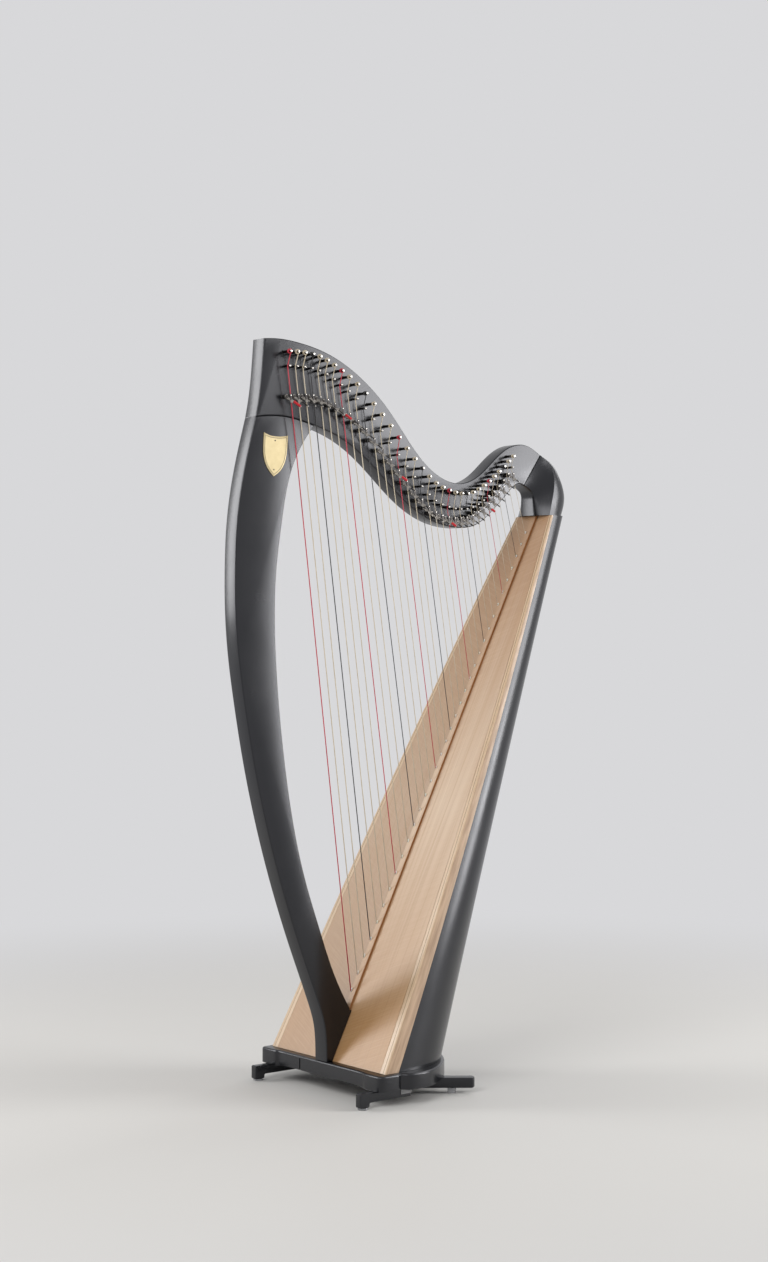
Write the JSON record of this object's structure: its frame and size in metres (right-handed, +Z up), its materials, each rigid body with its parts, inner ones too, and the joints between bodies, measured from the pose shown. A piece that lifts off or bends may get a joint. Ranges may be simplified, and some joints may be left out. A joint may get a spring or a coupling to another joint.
{
  "type": "lever harp",
  "caption": "Floor standing lever harp with a curved column, tapered soundbox, footed base and a hinged sharping lever at each string.",
  "frame": {"origin": "middle of the footprint's bounding box, on the floor", "axes": "+Z up, +X from the column to the soundbox, -Y the side that carries strings, pins and levers"},
  "size_m": [0.8294, 0.398, 1.4225],
  "materials": {
    "black_lacquer": "black lacquer over hardwood, satin gloss",
    "spruce_board": "clear finished spruce, lengthwise grain",
    "pale_rim_wood": "clear finished pale hardwood",
    "brown_rib_wood": "clear finished brown hardwood",
    "plain_inside_wood": "unfinished hardwood",
    "nickel_pins": "nickel plated steel",
    "nickel_levers": "nickel plated, cast and turned",
    "nylon_and_wound_strings": "nylon, clear, red and black",
    "pale_brass_plate": "brushed pale gold",
    "clear_foot_pads": "clear soft plastic"
  },
  "bodies": {
    "harp_body": {"base": "black_lacquer", "bridge_pins": "nickel_pins", "column": "black_lacquer", "column_bolt": "nickel_pins", "edge_moulding_plain_side": "pale_rim_wood", "edge_moulding_string_side": "pale_rim_wood", "front_leg_plain_side": "black_lacquer", "front_leg_string_side": "black_lacquer", "front_pad_plain_side": "clear_foot_pads", "front_pad_string_side": "clear_foot_pads", "inner_string_rib": "plain_inside_wood", "lever_mounts": "nickel_pins", "name_plate": "pale_brass_plate", "neck_plain_side": "black_lacquer", "neck_string_side": "black_lacquer", "outer_string_rib": "brown_rib_wood", "rear_leg_plain_side": "black_lacquer", "rear_leg_string_side": "black_lacquer", "rear_pad_plain_side": "clear_foot_pads", "rear_pad_string_side": "clear_foot_pads", "shoulder": "black_lacquer", "soundboard": "spruce_board", "soundbox_brace": "plain_inside_wood", "soundbox_shell": "black_lacquer", "strings": "nylon_and_wound_strings", "tuning_pins": "nickel_pins"},
    "lever_01": {"sharping_lever_01": "nickel_levers"},
    "lever_02": {"sharping_lever_02": "nickel_levers"},
    "lever_03": {"sharping_lever_03": "nickel_levers"},
    "lever_04": {"sharping_lever_04": "nickel_levers"},
    "lever_05": {"sharping_lever_05": "nickel_levers"},
    "lever_06": {"sharping_lever_06": "nickel_levers"},
    "lever_07": {"sharping_lever_07": "nickel_levers"},
    "lever_08": {"sharping_lever_08": "nickel_levers"},
    "lever_09": {"sharping_lever_09": "nickel_levers"},
    "lever_10": {"sharping_lever_10": "nickel_levers"},
    "lever_11": {"sharping_lever_11": "nickel_levers"},
    "lever_12": {"sharping_lever_12": "nickel_levers"},
    "lever_13": {"sharping_lever_13": "nickel_levers"},
    "lever_14": {"sharping_lever_14": "nickel_levers"},
    "lever_15": {"sharping_lever_15": "nickel_levers"},
    "lever_16": {"sharping_lever_16": "nickel_levers"},
    "lever_17": {"sharping_lever_17": "nickel_levers"},
    "lever_18": {"sharping_lever_18": "nickel_levers"},
    "lever_19": {"sharping_lever_19": "nickel_levers"},
    "lever_20": {"sharping_lever_20": "nickel_levers"},
    "lever_21": {"sharping_lever_21": "nickel_levers"},
    "lever_22": {"sharping_lever_22": "nickel_levers"},
    "lever_23": {"sharping_lever_23": "nickel_levers"},
    "lever_24": {"sharping_lever_24": "nickel_levers"},
    "lever_25": {"sharping_lever_25": "nickel_levers"},
    "lever_26": {"sharping_lever_26": "nickel_levers"},
    "lever_27": {"sharping_lever_27": "nickel_levers"},
    "lever_28": {"sharping_lever_28": "nickel_levers"},
    "lever_29": {"sharping_lever_29": "nickel_levers"},
    "lever_30": {"sharping_lever_30": "nickel_levers"},
    "lever_31": {"sharping_lever_31": "nickel_levers"},
    "lever_32": {"sharping_lever_32": "nickel_levers"},
    "lever_33": {"sharping_lever_33": "nickel_levers"},
    "lever_34": {"sharping_lever_34": "nickel_levers"}
  },
  "joints": [
    {"name": "lever_01_turn", "type": "hinge", "parent": "harp_body", "child": "lever_01", "pos_m": [-0.3073, -0.0184, 1.31381], "axis": [0, -1, 0], "range_deg": [0, 64]},
    {"name": "lever_02_turn", "type": "hinge", "parent": "harp_body", "child": "lever_02", "pos_m": [-0.28965, -0.0184, 1.3156], "axis": [0, -1, 0], "range_deg": [0, 64]},
    {"name": "lever_03_turn", "type": "hinge", "parent": "harp_body", "child": "lever_03", "pos_m": [-0.27208, -0.0184, 1.31681], "axis": [0, -1, 0], "range_deg": [0, 64]},
    {"name": "lever_04_turn", "type": "hinge", "parent": "harp_body", "child": "lever_04", "pos_m": [-0.25471, -0.0184, 1.31689], "axis": [0, -1, 0], "range_deg": [0, 64]},
    {"name": "lever_05_turn", "type": "hinge", "parent": "harp_body", "child": "lever_05", "pos_m": [-0.23755, -0.0184, 1.31508], "axis": [0, -1, 0], "range_deg": [0, 64]},
    {"name": "lever_06_turn", "type": "hinge", "parent": "harp_body", "child": "lever_06", "pos_m": [-0.22043, -0.0184, 1.31084], "axis": [0, -1, 0], "range_deg": [0, 64]},
    {"name": "lever_07_turn", "type": "hinge", "parent": "harp_body", "child": "lever_07", "pos_m": [-0.20313, -0.0184, 1.30452], "axis": [0, -1, 0], "range_deg": [0, 64]},
    {"name": "lever_08_turn", "type": "hinge", "parent": "harp_body", "child": "lever_08", "pos_m": [-0.1854, -0.0184, 1.29664], "axis": [0, -1, 0], "range_deg": [0, 64]},
    {"name": "lever_09_turn", "type": "hinge", "parent": "harp_body", "child": "lever_09", "pos_m": [-0.16706, -0.0184, 1.28749], "axis": [0, -1, 0], "range_deg": [0, 64]},
    {"name": "lever_10_turn", "type": "hinge", "parent": "harp_body", "child": "lever_10", "pos_m": [-0.14811, -0.0184, 1.2761], "axis": [0, -1, 0], "range_deg": [0, 64]},
    {"name": "lever_11_turn", "type": "hinge", "parent": "harp_body", "child": "lever_11", "pos_m": [-0.1286, -0.0184, 1.26129], "axis": [0, -1, 0], "range_deg": [0, 64]},
    {"name": "lever_12_turn", "type": "hinge", "parent": "harp_body", "child": "lever_12", "pos_m": [-0.10858, -0.0184, 1.24372], "axis": [0, -1, 0], "range_deg": [0, 64]},
    {"name": "lever_13_turn", "type": "hinge", "parent": "harp_body", "child": "lever_13", "pos_m": [-0.08815, -0.0184, 1.22483], "axis": [0, -1, 0], "range_deg": [0, 64]},
    {"name": "lever_14_turn", "type": "hinge", "parent": "harp_body", "child": "lever_14", "pos_m": [-0.06756, -0.0184, 1.20508], "axis": [0, -1, 0], "range_deg": [0, 64]},
    {"name": "lever_15_turn", "type": "hinge", "parent": "harp_body", "child": "lever_15", "pos_m": [-0.04713, -0.0184, 1.18491], "axis": [0, -1, 0], "range_deg": [0, 64]},
    {"name": "lever_16_turn", "type": "hinge", "parent": "harp_body", "child": "lever_16", "pos_m": [-0.02716, -0.0184, 1.1654], "axis": [0, -1, 0], "range_deg": [0, 64]},
    {"name": "lever_17_turn", "type": "hinge", "parent": "harp_body", "child": "lever_17", "pos_m": [-0.0079, -0.0184, 1.14755], "axis": [0, -1, 0], "range_deg": [0, 64]},
    {"name": "lever_18_turn", "type": "hinge", "parent": "harp_body", "child": "lever_18", "pos_m": [0.0107, -0.0184, 1.13172], "axis": [0, -1, 0], "range_deg": [0, 64]},
    {"name": "lever_19_turn", "type": "hinge", "parent": "harp_body", "child": "lever_19", "pos_m": [0.02868, -0.0184, 1.11828], "axis": [0, -1, 0], "range_deg": [0, 64]},
    {"name": "lever_20_turn", "type": "hinge", "parent": "harp_body", "child": "lever_20", "pos_m": [0.04614, -0.0184, 1.1083], "axis": [0, -1, 0], "range_deg": [0, 64]},
    {"name": "lever_21_turn", "type": "hinge", "parent": "harp_body", "child": "lever_21", "pos_m": [0.06311, -0.0184, 1.10244], "axis": [0, -1, 0], "range_deg": [0, 64]},
    {"name": "lever_22_turn", "type": "hinge", "parent": "harp_body", "child": "lever_22", "pos_m": [0.07964, -0.0184, 1.09941], "axis": [0, -1, 0], "range_deg": [0, 64]},
    {"name": "lever_23_turn", "type": "hinge", "parent": "harp_body", "child": "lever_23", "pos_m": [0.09576, -0.0184, 1.09798], "axis": [0, -1, 0], "range_deg": [0, 64]},
    {"name": "lever_24_turn", "type": "hinge", "parent": "harp_body", "child": "lever_24", "pos_m": [0.1115, -0.0184, 1.09816], "axis": [0, -1, 0], "range_deg": [0, 64]},
    {"name": "lever_25_turn", "type": "hinge", "parent": "harp_body", "child": "lever_25", "pos_m": [0.12686, -0.0184, 1.10026], "axis": [0, -1, 0], "range_deg": [0, 64]},
    {"name": "lever_26_turn", "type": "hinge", "parent": "harp_body", "child": "lever_26", "pos_m": [0.14186, -0.0184, 1.10483], "axis": [0, -1, 0], "range_deg": [0, 64]},
    {"name": "lever_27_turn", "type": "hinge", "parent": "harp_body", "child": "lever_27", "pos_m": [0.15648, -0.0184, 1.11199], "axis": [0, -1, 0], "range_deg": [0, 64]},
    {"name": "lever_28_turn", "type": "hinge", "parent": "harp_body", "child": "lever_28", "pos_m": [0.17072, -0.0184, 1.12075], "axis": [0, -1, 0], "range_deg": [0, 64]},
    {"name": "lever_29_turn", "type": "hinge", "parent": "harp_body", "child": "lever_29", "pos_m": [0.18461, -0.0184, 1.13022], "axis": [0, -1, 0], "range_deg": [0, 64]},
    {"name": "lever_30_turn", "type": "hinge", "parent": "harp_body", "child": "lever_30", "pos_m": [0.1982, -0.0184, 1.14051], "axis": [0, -1, 0], "range_deg": [0, 64]},
    {"name": "lever_31_turn", "type": "hinge", "parent": "harp_body", "child": "lever_31", "pos_m": [0.21156, -0.0184, 1.15193], "axis": [0, -1, 0], "range_deg": [0, 64]},
    {"name": "lever_32_turn", "type": "hinge", "parent": "harp_body", "child": "lever_32", "pos_m": [0.22473, -0.0184, 1.16461], "axis": [0, -1, 0], "range_deg": [0, 64]},
    {"name": "lever_33_turn", "type": "hinge", "parent": "harp_body", "child": "lever_33", "pos_m": [0.2378, -0.0184, 1.17817], "axis": [0, -1, 0], "range_deg": [0, 64]},
    {"name": "lever_34_turn", "type": "hinge", "parent": "harp_body", "child": "lever_34", "pos_m": [0.25084, -0.0184, 1.19215], "axis": [0, -1, 0], "range_deg": [0, 64]}
  ]
}
